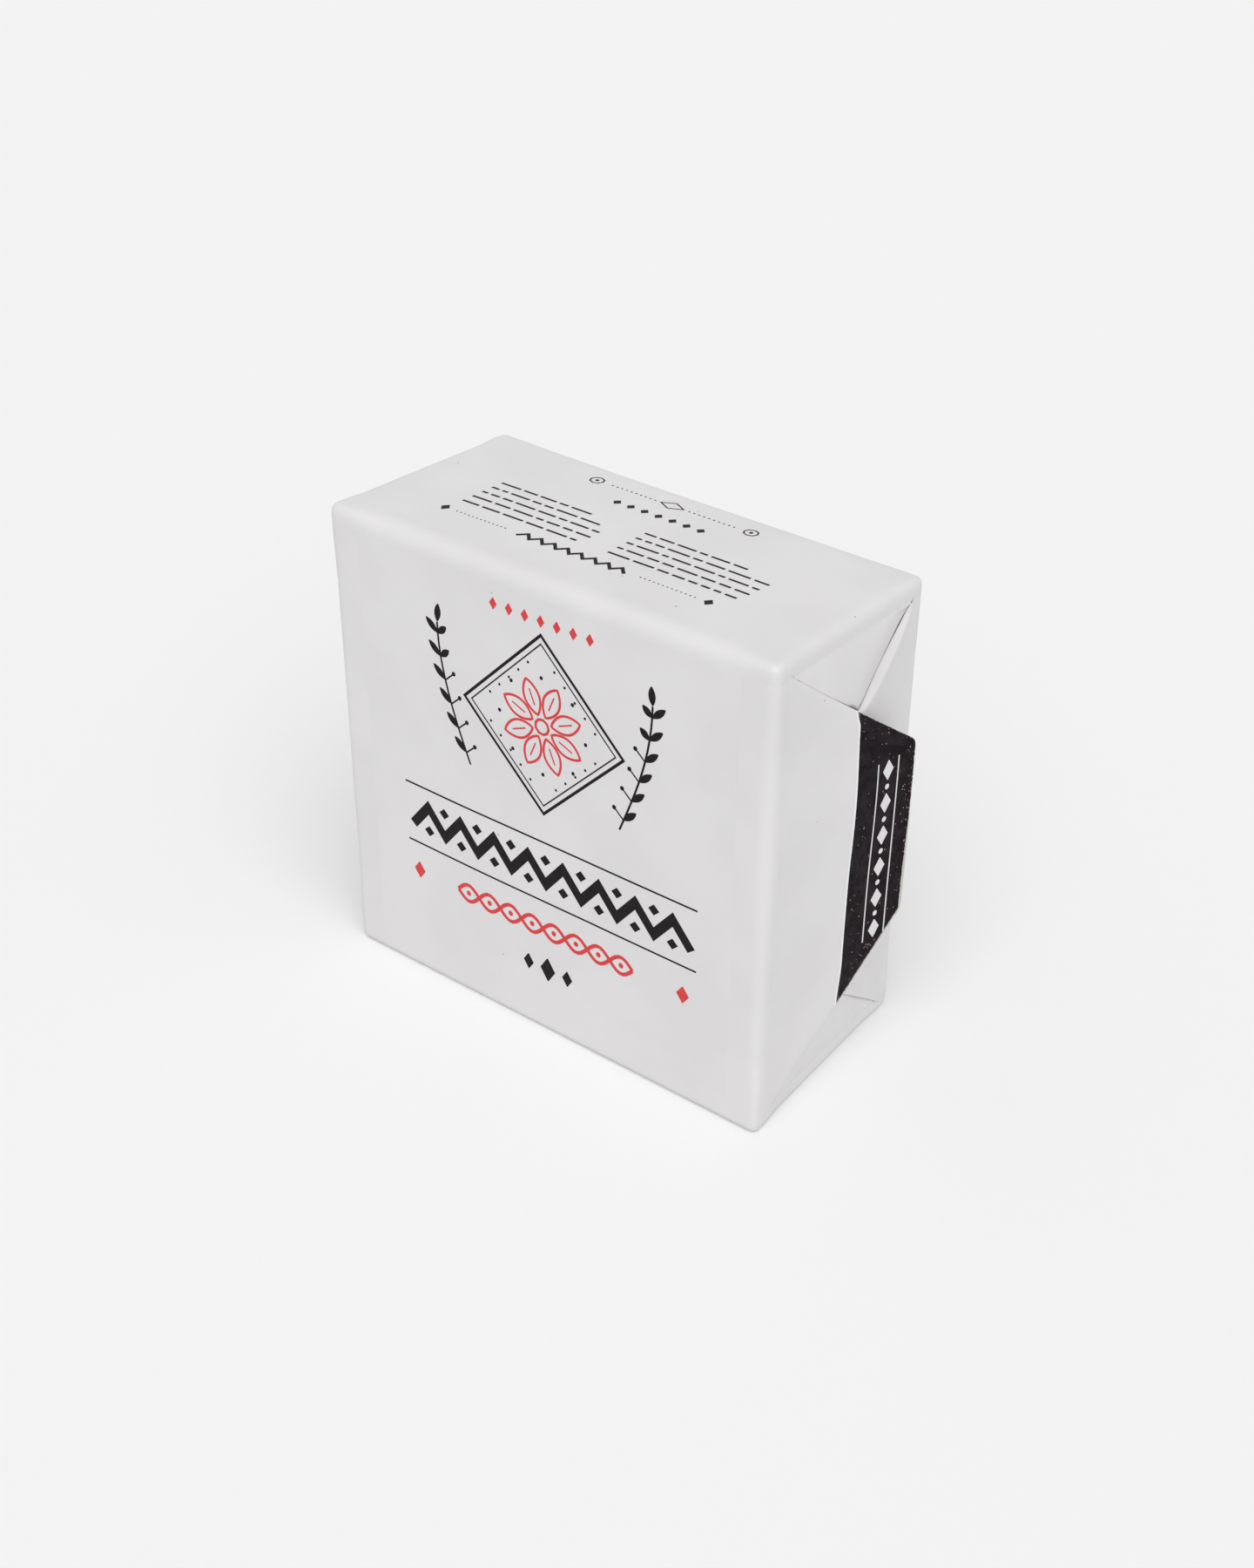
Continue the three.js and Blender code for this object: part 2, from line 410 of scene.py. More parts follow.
def printed_paper(name, specular):
    """Satin coated paper, white with a black band along its far ends, with painted shade in its creases and a painted
    highlight beside the band.
    """
    made, n = material(name, PAPER_LIGHT, 0.4, specular)
    along, level, crease = n.parts(n.flat)
    fibre = n.noise(5.5, 3, 0.7)
    # The black starts a little sooner near the top and bottom. Just outside it lies a painted highlight: a thin rim of
    # brighter paper
    edge = n.math("ADD", n.math("ABSOLUTE", along), n.ramp(n.noise(2.2, 2), 0.0, 1.0, -0.02, 0.02))
    edge = n.math("ADD", edge, n.ramp(level, 40.8, 42.4, 0.0, 0.4))
    edge = n.math("ADD", edge, n.ramp(level, 9.0, 14.0, 0.4, 0.0))
    inked = n.ramp(edge, BLACK_START - 0.025, BLACK_START + 0.025)
    outside = n.math("SUBTRACT", 1.0, inked)
    rim = n.math("MULTIPLY", n.ramp(edge, BLACK_START - 0.3, BLACK_START - 0.12), outside)
    white = n.blend(n.math("MULTIPLY", rim, 0.8), white_side(n, fibre), BORDER_HIGHLIGHT)
    color = n.blend(inked, white, black_side(n, level, n.math("ABSOLUTE", crease)))
    # Painted shade: a mauve darkening in creases, where the distance from a fold is below zero
    color = n.blend(n.ramp(crease, -0.02, -0.1, 0.0, 0.85), color, PAPER_CREASE_SHADE)
    satin = n.ramp(n.noise(0.7, 3), 0.3, 0.7, 0.36, 0.46)
    satin = n.math("SUBTRACT", satin, n.math("MULTIPLY", inked, 0.08))
    dents = n.noise(1.0, 2, 0.5, n.stretched((0.55, 0.16, 0.3)), 0.4)
    normal = n.bump(dents, 0.35, 0.05, Normal=n.bump(fibre, 0.25, 0.012))
    n.dress({"Base Color": color, "Roughness": satin, "Normal": normal})
    return made


def bare_paper():
    """The uncoated inner side and the cut edges."""
    made, n = material("bare_paper", PAPER_BARE, 0.75, 0.25)
    fibre = n.noise(3.0, 5, 0.7)
    color = n.blend(n.ramp(fibre, 0.25, 0.75), BARE_DARK, BARE_LIGHT)
    n.dress({"Base Color": color, "Normal": n.bump(fibre, 0.4, 0.03)})
    return made


def ink(name, color, roughness, other, specular):
    made, n = material(name, color, roughness, specular)
    patchy = n.blend(n.ramp(n.noise(1.6, 4, 0.65), 0.3, 0.75), color, other)
    n.dress({"Base Color": patchy, "Normal": n.bump(n.noise(6.0, 3, 0.7), 0.2, 0.01)})
    return made


def chalk():
    """Pressed powder with clouds, pores darkened by painted shade, and a dusty surface."""
    made, n = material("pressed_chalk", CHALK, 0.95, 0.15)
    cloud = n.noise(0.22, 4, 0.6)
    color = n.blend(n.ramp(cloud, 0.3, 0.7), CHALK_DARK, CHALK_LIGHT)
    pore = n.math("MULTIPLY", n.ramp(n.cells(1.7)[0], 0.05, 0.3, 1.0, 0.0), n.ramp(cloud, 0.45, 0.6))
    height = n.math("SUBTRACT", n.noise(4.0, 6, 0.75), n.math("MULTIPLY", pore, 0.8))
    # Painted shade: the pores are darker
    color = n.blend(n.math("MULTIPLY", pore, 0.35), color, CHALK_PORE_SHADE)
    n.dress({"Base Color": color, "Normal": n.bump(height, 0.7, 0.12)})
    return made


def dried_glue():
    made, n = material("adhesive", GLUE, 0.35)
    streaks = n.noise(1.2, 3, 0.6, n.stretched((0.3, 1.6, 1.0)))
    color = n.blend(n.ramp(streaks, 0.3, 0.7), GLUE_DARK, GLUE_LIGHT)
    n.dress({"Base Color": color, "Normal": n.bump(streaks, 0.5, 0.03)})
    return made


printed = printed_paper("printed_paper", 0.5)
printed_black = printed_paper("paper_printed_black", 0.035)
bare = bare_paper()
black_ink = ink("black_ink", (0.007, 0.005, 0.006), 0.5, (0.014, 0.011, 0.012), 0.1)
red_ink = ink("red_ink", (0.62, 0.03, 0.035), 0.45, (0.66, 0.05, 0.05), 0.3)
white_mark = ink("white_mark", (0.72, 0.71, 0.72), 0.42, (0.66, 0.65, 0.66), 0.4)


# Shape of the flaps. A place on a flap is its distance s from the crease, and its drop from the top or bottom.
HALVES = ("low", "high")
SIGNS = {"low": -1, "high": 1}
END_WORDS = {1: "right", -1: "left"}

# A flap's folds come this near to the top and bottom, start this far below, and its gussets come this near
# to the crease
LEAST_DROP = 0.35
FOLD_START_DROP = 1.5
FIRST_ROW = 1.75
GUSSET_BASE = FOLD_RADIUS + 0.2

# How much of a thick fold stands above the flap's face, and how far the face swells beside it
SWELL_SHARE = 0.7
SWELL_WIDTH = 2.2

# Where a flap bows outwards, and how far round
BOW_AT = (13.0, 33.0)
BOW_SIZE = (5.0, 8.0)


def sheet_along(face, s):
    return face - FOLD_RADIUS + FOLD_RADIUS * math.pi / 2 + (s - FOLD_RADIUS)


def border_distance(face):
    """Distance over an end at which the black print starts."""
    return BLACK_START - sheet_along(face, 0.0)


class Fold:
    """A folded edge of a flap. Its line starts somewhere, has a slope, and bends from some place on. Its shift moves
    the painted crease shade onto its roll.
    """

    def __init__(self, start, slope, bend, bend_from, corner, roll, power=2.0, shade_shift=0.0):
        self.start, self.slope, self.bend, self.bend_from = start, slope, bend, bend_from
        self.corner, self.power, self.shade_shift = corner, power, shade_shift
        self.reach, self.thick = roll

    def line(self, s):
        """Drop of the folded edge at a place along the flap, and its slope there."""
        extra = max(0.0, s - self.bend_from)
        return self.slope * (s - self.start) + self.bend * extra * extra, self.slope + 2 * self.bend * extra

    def beyond(self, s, drop):
        """Distance of a place outside the folded edge."""
        line, slope = self.line(s)
        return (line - drop) / math.hypot(1, slope)

    def outward(self, s):
        """The way straight out over the edge, as its part along the flap and its part up or down."""
        slope = self.line(s)[1]
        norm = math.hypot(1, slope)
        return slope / norm, 1 / norm


class Flap:
    """One kind of end flap. It springs off its end by its lift, bows, and closes by the angle given."""

    def __init__(self, word, along, face, length, lift, curl, bow, closing, low, high):
        self.word, self.along, self.face, self.length = word, along, face, length
        self.tip_lift, self.curl, self.bow = lift, curl, bow
        self.closing = math.tan(math.radians(closing))
        self.folds = {"low": low, "high": high}
        self.start = max(FOLD_START_DROP / fold.slope + fold.start for fold in (low, high))
        self.tips = {half: self.tip(half)[0] for half in HALVES}

    def tip(self, half):
        """Where a fold ends in the rounding of the flap's tip: that place, and the rounding's middle."""
        fold = self.folds[half]
        ends = middle_s = self.length - fold.corner
        for _ in range(6):
            line, slope = fold.line(ends)
            norm = math.hypot(1, slope)
            middle_drop = line + slope * (middle_s - ends) + fold.corner * norm
            ends = middle_s + fold.corner * slope / norm
        return ends, (middle_s, middle_drop)

    def heights(self, s):
        """Lowest and highest point of the flap's face at a place along it, folds included."""
        drops = []
        for half, fold in self.folds.items():
            ends, (middle_s, middle_drop) = self.tip(half)
            if s <= ends:
                drops.append(max(LEAST_DROP, fold.line(s)[0]))
            else:
                drops.append(middle_drop - math.sqrt(max(0.0, fold.corner**2 - (s - middle_s) ** 2)))
        return drops[0], HEIGHT - drops[1]

    def lift(self, s):
        run = max(0.0, s - FOLD_RADIUS) / (self.length - FOLD_RADIUS)
        return self.tip_lift * run**self.curl

    def level(self, side, s, z):
        """Distance of the outer face from the packet's middle."""
        run = ((z - BOW_AT[1]) / BOW_SIZE[1], (s - BOW_AT[0]) / BOW_SIZE[0])
        bow = self.bow * math.exp(-(run[0] ** 2) - run[1] ** 2)
        return self.face + self.lift(s) + bow + relief(side * END, self.along * (s - HALF_DEPTH), z)

    def folded(self, half, s):
        return self.start - TINY <= s <= self.tips[half] + TINY

    def roll_size(self, half, s):
        """Reach and half thickness of a rolled fold at a place along the flap."""
        fold = self.folds[half]
        run = (s - self.start) / (self.tips[half] - self.start)
        share = math.sin(math.pi * min(1.0, max(0.0, run))) ** 0.8
        least = PAIR / 2 * mix(0.3, 1.0, smooth((s - self.start) / 1.2))
        return least + fold.reach * share, least + fold.thick * share

    def face_level(self, side, s, z):
        """Distance of the outer face from the middle, with its swelling beside a thick fold."""
        reach = 0.0
        for half, fold in self.folds.items():
            if s >= self.start:
                swell = SWELL_SHARE * 2 * max(0.0, self.roll_size(half, s)[1] - PAIR / 2)
                gap = max(0.0, -fold.beyond(s, from_edge(half, z)))
                reach = max(reach, swell * max(0.0, 1 - gap / SWELL_WIDTH) ** 2)
        drop = min(z, HEIGHT - z)
        return self.level(side, s, z) + reach + 0.02 * smooth((SHOULDER + 0.3 - drop) / 0.3)

    def place(self, side, level, s, z):
        return side * level, self.along * (s - HALF_DEPTH), z

    def rows(self):
        """Places along the flap that have a row of points. They crowd in its rounded tip."""
        tip, last = min(self.tips.values()), max(self.tips.values())
        rows = [FIRST_ROW, (FIRST_ROW + self.start) / 2, self.start, self.start + 0.4]
        rows += [float(s) for s in np.linspace(self.start + 0.8, tip, round(tip - self.start) + 2)]
        border = border_distance(self.face)
        if border < tip:
            rows = sorted([s for s in rows if abs(s - border) > 0.3] + [border])
        if last - tip > TINY:
            rows.append(last)
        return rows + [mix(last, self.length, math.sin(math.pi / 2 * k / 6)) for k in range(1, 7)]


OUTER = Flap(
    "outer", along=1, face=26.0575, length=OVERHANG, lift=3.15, curl=1.6, bow=0.3, closing=3.5,
    low=Fold(0.0, 0.7, 0.0162, 8.0, corner=2.6, roll=(0.05, 0.03)),
    high=Fold(0.0, 0.7, 0.0, 8.0, corner=1.7, roll=(0.05, 0.04)),
)
INNER = Flap(
    "inner", along=-1, face=END, length=12.9, lift=0.8, curl=1.2, bow=0.0, closing=2.45,
    low=Fold(0.3, 0.78, 0.0, 8.0, corner=0.4, roll=(0.05, 0.03)),
    high=Fold(0.0, 0.9, -0.0205, 3.0, corner=0.4, roll=(0.92, 0.5), power=1.0, shade_shift=0.4),
)


# Shape of the sleeve. A station on a flat side looks straight up, down, forwards or back.
STRAIGHT = 0.99


def lap_rise(z):
    """How far the upper layer of the lap lies outside the lower one."""
    return LAP_RISE * smooth((LAP_END - z) / (LAP_END - LAP_TOP))


def rounding(angle, power):
    """How much further out than a circle an edge's rounding reaches. A power of 2 is a circle."""
    return (abs(math.cos(angle)) ** power + abs(math.sin(angle)) ** power) ** (-1 / power)


def edge_power(x, y, z):
    """Crispness of the four long edges. It is higher near their ends."""
    middle = FOOT_POWER if z < MIDDLE else TOP_FRONT_POWER if y < 0 else TOP_BACK_POWER
    return mix(middle, max(middle, EDGE_END_POWER), smooth((abs(x) - 19.5) / 6.0))


def fold_power(side, y, z):
    """Crispness of the folds round an end."""
    corner, middle = (FOOT_POWER, FOOT_POWER) if z < MIDDLE else END_TOP_POWERS[side]
    if abs(y) < CORE - TINY:
        return mix(corner, middle, smooth((CORE - abs(y)) / 3.5))
    middle = END_BACK_POWER if y > 0 else END_FRONT_POWER[side]
    return mix(middle, corner, smooth((abs(z - MIDDLE) - MIDDLE + CORNER_RUN) / (CORNER_RUN - EDGE_RADIUS)))


def end_face(y):
    """Where the rounded ends of the top and bottom come to, between the two flaps' faces."""
    face = OUTER.face if y < 0 else INNER.face
    return mix(face, TUCK_FACE + 0.25, smooth((CORE - abs(y)) / 3.2))


class Station:
    """A line along the sleeve: the middle of its rounding, and the way that the paper looks there."""

    def __init__(self, y, z, turn, around, rise=0.0):
        self.y, self.z, self.turn, self.around, self.rise = y, z, turn, around, rise
        self.face = end_face(y)
        self.upright, self.level = abs(math.cos(turn)) > STRAIGHT, abs(math.sin(turn)) > STRAIGHT
        self.pillow = swelling(z - MIDDLE, MIDDLE) if self.upright else swelling(y, HALF_DEPTH) if self.level else 0.0

    def place(self, side, x, roll):
        """A point of the outer surface at x, or on the rounded end where roll is over zero."""
        crisp = FOLD_RADIUS * rounding(roll, fold_power(side, self.y, self.z))
        reach = RIM + crisp * math.cos(roll) + self.rise * math.cos(roll)
        along = x
        if roll > 0:
            x = self.face - FOLD_RADIUS + crisp * math.sin(roll)
            along = self.face - FOLD_RADIUS + FOLD_RADIUS * roll
        cos, sin = math.cos(self.turn), math.sin(self.turn)
        reach *= rounding(self.turn, edge_power(x, self.y, self.z))
        y, z = self.y + reach * cos, self.z + reach * sin
        proud = relief(side * x, y, z, self.pillow)
        half = "high" if z > MIDDLE else "low"
        drop = from_edge(half, z)
        if roll > 0 and drop < SHOULDER and abs(y) < CORE:
            flush = end_face(y) + relief(side * END, y, z)
            x += (end_level(side, half, y + HALF_DEPTH, drop) - flush) * smooth(math.sin(roll) * 4 - 3)
        out = (side * math.sin(roll), math.cos(roll) * cos, math.cos(roll) * sin)
        place = (side * x + out[0] * proud, y + out[1] * proud, z + out[2] * proud)
        return place, (side * along, self.around, FAR), out


def sleeve_stations():
    """From the lap's inner end down the back, under the block, up the front, over the top and down to the lap."""
    low, high = EDGE_RADIUS, HEIGHT - EDGE_RADIUS
    marks = {low, SHOULDER, HEIGHT - SHOULDER, high, LAP_LOW, LAP_TOP, LAP_END}
    near = [CORE - 0.22 * n for n in range(18)]
    depths = near + [float(y) for y in np.linspace(CORE - 4, -CORE + 4, 36)] + [-y for y in reversed(near)]

    def heights(a, b):
        """Heights from a to b. They keep clear of the marks, which are all among them."""
        found = {a, b} | {z for z in marks if min(a, b) < z < max(a, b)}
        for z in np.arange(3.0, HEIGHT - 2.5, 1.0):
            if min(a, b) < z < max(a, b) and all(abs(z - other) > 0.35 for other in found | marks):
                found.add(z)
        return sorted(found, reverse=a > b)

    flat_sides = (
        [(CORE, z, 0.0) for z in heights(LAP_TOP, low)],
        [(y, low, 0.0) for y in depths],
        [(-CORE, z, 0.0) for z in heights(low, high)],
        [(y, high, 0.0) for y in reversed(depths)],
        [(CORE, z, lap_rise(z)) for z in heights(high, LAP_LOW)],
    )
    stations, around = [], 0.0
    for n, places in enumerate(flat_sides):
        turn, (first_y, first_z, _) = -n * math.pi / 2, places[0]
        for y, z, rise in places:
            stations.append(Station(y, z, turn, around + abs(y - first_y) + abs(z - first_z), rise))
        around = stations[-1].around
        for step in range(1, ROLL_STEPS) if places is not flat_sides[-1] else ():
            angle = step / ROLL_STEPS * math.pi / 2
            stations.append(Station(y, z, turn - angle, around + EDGE_RADIUS * angle))
        around += EDGE_RADIUS * math.pi / 2
    return stations


def notch(half, beyond, inner_s, drop):
    """Depth of the valley that lies beside the inner flap's fold. It is deeper under the loose roll."""
    if beyond <= 0:
        return 0.0
    run = min(1.0, max(0.0, inner_s / INNER.length))
    deep = 0.12 + (0.3 if half == "high" else 0.0) * math.sin(math.pi * run) ** 0.8
    return deep * smooth(beyond / 0.15) * (1 - smooth(beyond / 3.0)) * smooth((drop - SHOULDER) / 0.8)


def gap_start(flap, half, s):
    """How far outside a fold the tuck has dipped. It is under zero where the fold lies tight against it."""
    return mix(-0.07, 0.04, smooth((s - 7.5) / 4.5)) if flap is OUTER else 0.08 if half == "high" else -0.04


def end_level(side, half, s, drop):
    """Distance of the sleeve's end from the middle. It dips where a flap lies over it."""
    z = from_edge(half, drop)
    y, inner_s = s - HALF_DEPTH, DEPTH - s
    end = end_face(max(-CORE, min(CORE, y)))
    soft = relief(side * END, y, z)
    beyond_outer, beyond_inner = OUTER.folds[half].beyond(s, drop), INNER.folds[half].beyond(inner_s, drop)
    spare = 0.02 if drop > EDGE_RADIUS + 0.01 else -0.22
    under_outer = beyond_outer <= gap_start(OUTER, half, s) + spare
    under_inner = beyond_inner <= gap_start(INNER, half, inner_s) + spare and inner_s <= INNER.length
    if under_outer or under_inner:
        # Under a flap it leaves room for the flap when that is pressed flat
        level = end + 0.012 * (drop - FOLD_RADIUS) + 0.6 * soft
        if under_outer:
            level = min(level, OUTER.face + OUTER.lift(s) - OUTER.closing * s - PAIR - 0.06)
        if under_inner:
            level = min(level, INNER.face + INNER.lift(inner_s) - INNER.closing * inner_s - PAIR - 0.12)
        level = max(level, TUCK_FACE - 0.03)
    else:
        # Between the flaps it is drawn to what is nearest: the packet's edge or one of the flaps
        step = 0.03 + 0.5 * smooth((s - 7.0) / 6.0) ** 1.5
        pulls = (
            (end + soft, 1 / max(0.02, drop - SHOULDER)),
            (OUTER.level(side, s, z) - step, 1 / max(0.02, beyond_outer)),
            (INNER.level(side, inner_s, z), 1 / max(0.02, beyond_inner)),
        )
        level = sum(value * weight for value, weight in pulls) / sum(weight for _, weight in pulls)
        level -= notch(half, beyond_inner, inner_s, drop)
    if drop <= SHOULDER + 0.01:
        level = mix(end + soft, level, smooth((min(s, inner_s) - EDGE_RADIUS) / 0.5))
    return level


def tuck_drops(half, s, border):
    """Distances from the top or bottom of a tuck's rows. They crowd where it dips under a flap."""
    edge, slope = OUTER.folds[half].line(s)
    edge -= gap_start(OUTER, half, s) * math.hypot(1, slope)
    if DEPTH - s <= INNER.length:
        line, slope = INNER.folds[half].line(DEPTH - s)
        edge = min(edge, line - gap_start(INNER, half, DEPTH - s) * math.hypot(1, slope))
    edge = max(edge, SHOULDER + 0.3)
    drops = [EDGE_RADIUS, SHOULDER]
    drops += [mix(SHOULDER, edge - 0.11, n / 15) for n in range(1, 16)]
    drops += [edge, edge + 0.3]
    drops += [mix(edge + 0.3, border, n / 8) for n in range(1, 9)]
    drops += [mix(border, OVERHANG, n / 12) for n in range(1, 13)]
    return drops, edge


def strip_places(face):
    """Places from a flap's piece's start to the end's rounded fold, as x or else the angle of the fold."""
    places = [(x, 0.0) for x in (STRIP_START, STRIP_NEXT, face - FOLD_RADIUS)]
    return places + [(0.0, math.pi / 2 * step / ROLL_STEPS) for step in range(1, ROLL_STEPS + 1)]


def sleeve_rows(sheet, side, stations):
    """One half of the sleeve, from the middle to an end. The flaps' own pieces take up its strips beside them."""
    middle = [(float(x), 0.0) for x in np.linspace(0, STRIP_START, 23)]
    rows = []
    for station in stations:
        points = [station.place(side, x, roll) for x, roll in middle[:-1] + strip_places(station.face)]
        rows.append((station, [sheet.point(place, flat) for place, flat, _ in points], [p[2] for p in points]))
    for (a, row_a, outs), (b, row_b, _) in zip(rows, rows[1:]):
        strip = a.upright and b.upright and all(SHOULDER - TINY <= z <= HEIGHT - SHOULDER + TINY for z in (a.z, b.z))
        sheet.join(row_a[: len(middle)] if strip else row_a, row_b, outs)
    return rows


def tuck(sheet, side, half, rows):
    """The top's or bottom's sheet folded down over an end, with the small corners at its sides."""
    run = [row for row in rows if row[0].level and from_edge(half, row[0].z) < MIDDLE]
    if run[0][0].y > run[-1][0].y:
        run.reverse()
    columns = []
    for station, row, _ in run:
        column = [row[-1]]
        drops, deep = tuck_drops(half, station.y + HALF_DEPTH, border_distance(station.face))
        for drop in drops:
            y = station.y * (1 - TUCK_TAPER / CORE * max(0, drop - SHOULDER) / OVERHANG)
            # Rows in the crease beside a fold get painted shade, fading out towards the front
            in_shade_band = deep - 0.01 < drop < deep + 0.31
            fold = TUCK_SHADE_MARKS[half] * smooth((y + 7.0) / 5.0) if in_shade_band else FAR
            place = (side * end_level(side, half, y + HALF_DEPTH, drop), y, from_edge(half, drop))
            flat = (side * sheet_along(station.face, drop), station.around, fold)
            column.append(sheet.point(place, flat))
        columns.append(column)
    for left, right in zip(columns, columns[1:]):
        for i in range(len(left) - 1):
            sheet.face([left[i], right[i], right[i + 1], left[i + 1]], (side, 0, 0))
    for (edge, _, _), column, way in ((run[0], columns[0], -1), (run[-1], columns[-1], 1)):
        near = [
            (abs(station.z - edge.z), -abs(math.sin(station.turn)), row[-1])
            for station, row, _ in rows
            if station.y * way > CORE - TINY and from_edge(half, station.z) <= SHOULDER + TINY
        ]
        rim = [corner for _, _, corner in sorted(near, key=lambda entry: entry[:2])]
        for a, b in zip(rim[:-1], rim[1:-1]):
            sheet.face([column[1], a, b], (side, 0, 0))
        sheet.face([column[1], rim[-2], rim[-1], column[2]], (side, 0, 0))


def wrapper_sleeve():
    """The sheet round the block, with its upper and lower tucks at both ends."""
    sheet = Sheet()
    stations = sleeve_stations()
    for side in (1, -1):
        rows = sleeve_rows(sheet, side, stations)
        for half in ("high", "low"):
            tuck(sheet, side, half, rows)
    return sheet.shell("wrapper_sleeve")


def face_row(side, flap, s, shares):
    """Points across a flap's face. They draw in from its edges by the reach of the rolled folds."""
    ends = []
    for half, height in zip(HALVES, flap.heights(s)):
        out_s, out_z = flap.folds[half].outward(s)
        reach = flap.roll_size(half, s)[0] if flap.folded(half, s) else 0.0
        ends.append((out_s * reach, height - SIGNS[half] * out_z * reach))
    row = []
    for share in shares:
        z = mix(ends[0][1], ends[1][1], share)
        at = s - mix(ends[0][0], ends[1][0], share) * (2 * share - 1) ** 4
        gap = min(-fold.beyond(at, from_edge(half, z)) for half, fold in flap.folds.items())
        flat = (side * sheet_along(flap.face, at), z, max(0.0, min(gap, flap.length - at) + 0.1))
        row.append((flap.place(side, flap.face_level(side, at, z), at, z), flat, (side, 0, 0)))
    return row


def rolled_edge(side, flap, half, s):
    """Points round a flap's folded edge, and on over the triangle folded under the flap."""
    fold, tip, border = flap.folds[half], max(flap.tips.values()), border_distance(flap.face)
    out_s, out_z = fold.outward(s)
    out_z *= SIGNS[half]
    reach, thick = flap.roll_size(half, s)
    core_s, core_z = s - out_s * reach, flap.heights(s)[HALVES.index(half)] - out_z * reach
    top = flap.face_level(side, core_s, core_z)
    thin = min(thick, PAIR / 2)
    power = 2 / fold.power
    points = []
    for step in range(1, ROLL_STEPS + 1):
        angle = math.pi * step / ROLL_STEPS
        cos, sin = math.cos(angle), math.sin(angle)
        out, up = sin**power, abs(cos) ** power
        at, z = core_s + out_s * reach * out, core_z + out_z * reach * out
        level = top - thick + (thick * up if step < ROLL_STEPS / 2 else -thin * up)
        # The fold's shift carries the painted crease shade up onto the roll's nose
        flat = (side * sheet_along(flap.face, s), z, reach * (math.pi / 2 - angle - fold.shade_shift))
        points.append((flap.place(side, level, at, z), flat, (side * cos, flap.along * out_s * sin, out_z * sin)))
    run = (s - border) / (tip - border) if border < tip else s / tip
    end_drop = s + (flap.length - tip) * smooth(run)
    under = thick + thin - top + flap.level(side, core_s, core_z)
    for step in range(1, GUSSET_STEPS + 1):
        share = step / GUSSET_STEPS
        at, z = mix(core_s, GUSSET_BASE, share), mix(core_z, from_edge(half, end_drop), share)
        level = flap.level(side, at, z) - mix(under, PAIR, smooth(share * 2))
        flat = (side * sheet_along(flap.face, mix(s, end_drop, share)), z, FAR)
        points.append((flap.place(side, level, at, z), flat, (-side, 0, 0)))
    return points


def flap_sheet(side, flap):
    """A flap with the rounded fold that it turns about, and the two triangles folded under it."""
    sheet = Sheet()
    marks = [SHOULDER] + [float(z) for z in range(3, 49)] + [HEIGHT - SHOULDER]
    lap_edge = []
    if flap is INNER:
        lap_edge = [LAP_LOW - 0.03, LAP_LOW]
        marks = sorted({*marks, *lap_edge, LAP_TOP - 0.001, LAP_END + 0.001})
    turn = math.pi if flap is OUTER else 0.0
    rises = [lap_rise(z) if flap is INNER and z >= LAP_LOW else 0.0 for z in marks]
    stations = [Station(-flap.along * CORE, z, turn, z, rise) for z, rise in zip(marks, rises)]
    strip = [([station.place(side, x, roll) for station in stations], {}) for x, roll in strip_places(flap.face)]
    shares = [(z - SHOULDER) / (HEIGHT - 2 * SHOULDER) for z in marks]
    leaf = []
    for s in flap.rows():
        rolled = {half: rolled_edge(side, flap, half, s) for half in HALVES if flap.folded(half, s)}
        leaf.append((face_row(side, flap, s, shares), rolled))

    def add(points):
        return [sheet.point(place, flat) for place, flat, _ in points], [out for _, _, out in points]

    rows = [(*add(row), {half: add(points) for half, points in rolled.items()}) for row, rolled in strip + leaf]
    for n, ((ids_a, _, rolled_a), (ids_b, outs, rolled_b)) in enumerate(zip(rows, rows[1:])):
        if n < len(strip) - 1:
            sheet.creases |= {frozenset((ids_a[marks.index(z)], ids_b[marks.index(z)])) for z in lap_edge}
        sheet.join(ids_a, ids_b, outs)
        for half, end in (("low", 0), ("high", -1)):
            if half in rolled_a and half in rolled_b:
                (more_a, _), (more_b, more_outs) = rolled_a[half], rolled_b[half]
                sheet.join([ids_a[end]] + more_a, [ids_b[end]] + more_b, more_outs)
    return sheet


def flap_piece(side, flap):
    name = f"{END_WORDS[side]}_{flap.word}"
    piece = flap_sheet(side, flap).shell(f"{name}_folded_flap")
    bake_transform(piece)
    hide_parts(f"{name}_flap", f"{name}_upper_gusset", f"{name}_lower_gusset")


def chalk_body():
    """The pressed block. Its edges are rounded, and it is worn and dented inwards only."""
    half = np.array(BLOCK) / 2
    counts = [44, 22, 44]
    points, faces, seen = [], [], {}

    def corner(axis, sign, a, b, i, j):
        unit = [0.0, 0.0, 0.0]
        unit[axis] = float(sign)
        unit[a] = math.sin(math.pi / 2 * (2 * i / counts[a] - 1))
        unit[b] = math.sin(math.pi / 2 * (2 * j / counts[b] - 1))
        key = tuple(round(u, 6) for u in unit)
        if key not in seen:
            place = np.array(unit) * half
            core = np.clip(place, BLOCK_EDGE - half, half - BLOCK_EDGE)
            out = (place - core) / np.linalg.norm(place - core)
            edge = 1 - float(np.max(np.abs(out)))
            x, y, z = core + out * BLOCK_EDGE
            dent = 0.02 + 0.05 * abs(waves(x, y, z, 6.0, 5.2)) + 0.04 * max(0.0, waves(x, y, z, 1.6, 1.7))
            dent += 1.6 * edge * max(0.0, waves(x, y, z, 2.4, 7.3)) ** 1.5
            place = core + out * (BLOCK_EDGE - dent)
            seen[key] = len(points)
            points.append((place[0], place[1], place[2] + MIDDLE))
        return seen[key]

    for axis in range(3):
        a, b = (axis + 1) % 3, (axis + 2) % 3
        for sign in (1, -1):
            for i in range(counts[a]):
                for j in range(counts[b]):
                    ring = [corner(axis, sign, a, b, i + m, j + n) for m, n in ((0, 0), (1, 0), (1, 1), (0, 1))]
                    faces.append(ring[::sign])
    return finish_mesh("chalk_body", points, faces, [chalk()], points)


